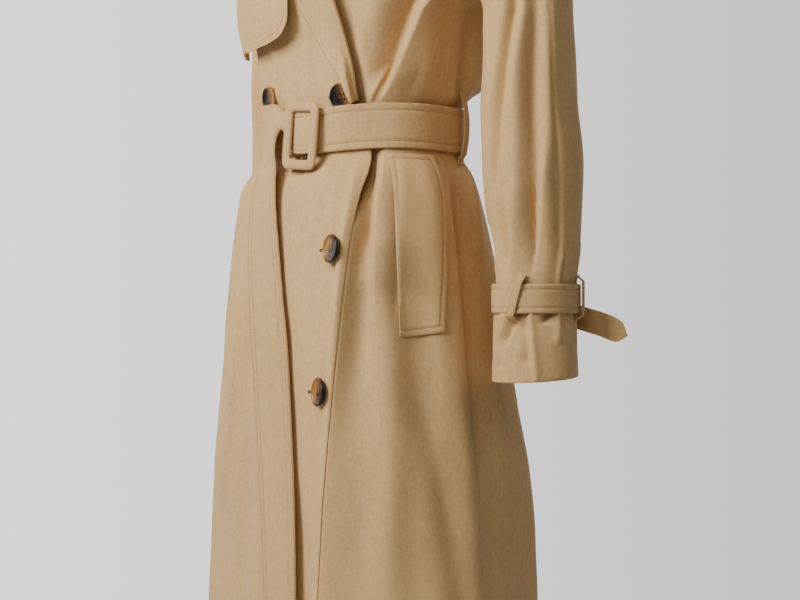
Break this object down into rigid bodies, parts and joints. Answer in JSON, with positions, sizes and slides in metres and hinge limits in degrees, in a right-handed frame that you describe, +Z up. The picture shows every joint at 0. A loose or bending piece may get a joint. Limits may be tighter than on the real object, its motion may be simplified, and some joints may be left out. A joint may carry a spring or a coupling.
{
  "type": "trench coat",
  "caption": "Belted double-breasted trench coat as worn, with notched lapels, one storm flap, welt pockets, buckled waist belt with a long hanging end and strapped cuffs.",
  "frame": {"origin": "on the wearer's axis, level with the base of the neck, where the shoulders hold the coat", "axes": "+Z up, -Y the way the wearer faces, +X to the wearer's left"},
  "size_m": [0.5841, 0.3447, 1.1973],
  "materials": {
    "cotton": "matt sand-coloured cotton twill",
    "buckle_cover": "sand-coloured cloth or leather covered buckle",
    "bar": "dull bar inside the buckle",
    "horn": "brown horn, half amber, polished"
  },
  "bodies": {
    "root": {"front_right": "cotton", "front_left": "cotton", "back": "cotton", "storm_flap": "cotton", "collar_stand": "cotton", "collar_fall": "cotton", "lapel_right": "cotton", "lapel_left": "cotton", "pocket_welt_right": "cotton", "pocket_welt_left": "cotton", "sleeve_right": "cotton", "sleeve_left": "cotton", "belt": "cotton", "belt_tail": "cotton", "belt_loop_right": "cotton", "belt_loop_left": "cotton", "cuff_strap_right": "cotton", "cuff_strap_left": "cotton", "cuff_tab_right": "cotton", "cuff_tab_left": "cotton", "cuff_loop_front_right": "cotton", "cuff_loop_front_left": "cotton", "cuff_loop_back_right": "cotton", "cuff_loop_back_left": "cotton", "buckle": "buckle_cover", "buckle_bar": "bar", "button_top_right": "horn", "button_top_left": "horn", "button_mid_right": "horn", "button_mid_left": "horn", "button_low_right": "horn", "button_low_left": "horn"}
  },
  "joints": []
}
